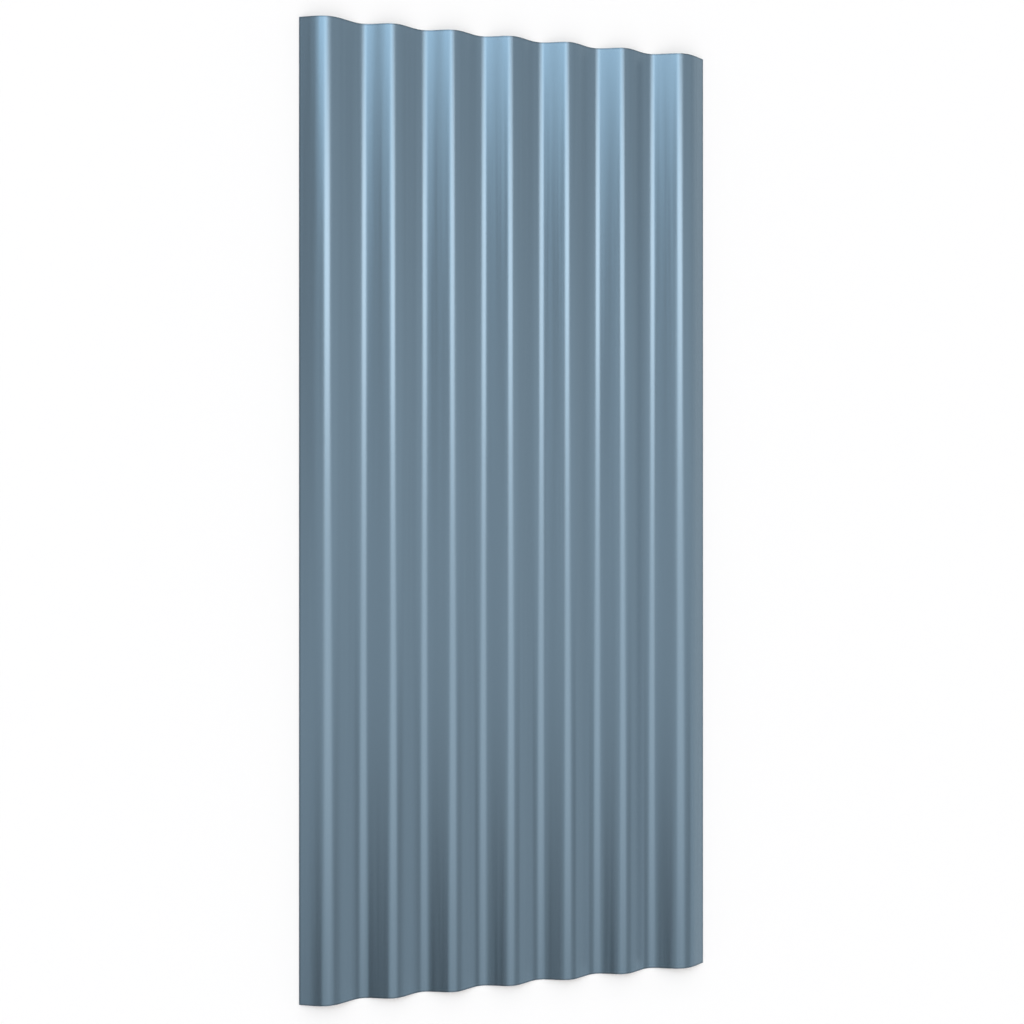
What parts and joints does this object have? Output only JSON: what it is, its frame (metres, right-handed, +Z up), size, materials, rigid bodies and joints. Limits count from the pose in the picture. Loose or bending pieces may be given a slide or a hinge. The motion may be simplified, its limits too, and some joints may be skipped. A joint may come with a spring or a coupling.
{
  "type": "corrugated metal sheet",
  "caption": "Flat-lying painted steel sheet rolled into lengthwise waves, with a taller lap crest along each side, to cover a roof or wall, lapped at its sides and screwed to battens.",
  "frame": {"origin": "on the floor under the middle of the sheet, below its middle crest", "axes": "+X across the waves, +Y along the waves, +Z up from the floor"},
  "size_m": [0.45, 1, 0.0135],
  "materials": {
    "painted_steel": "semi-gloss blue-grey coil coating with faint streaks along the rolling direction"
  },
  "bodies": {
    "root": {"corrugated_sheet": "painted_steel"}
  },
  "joints": []
}
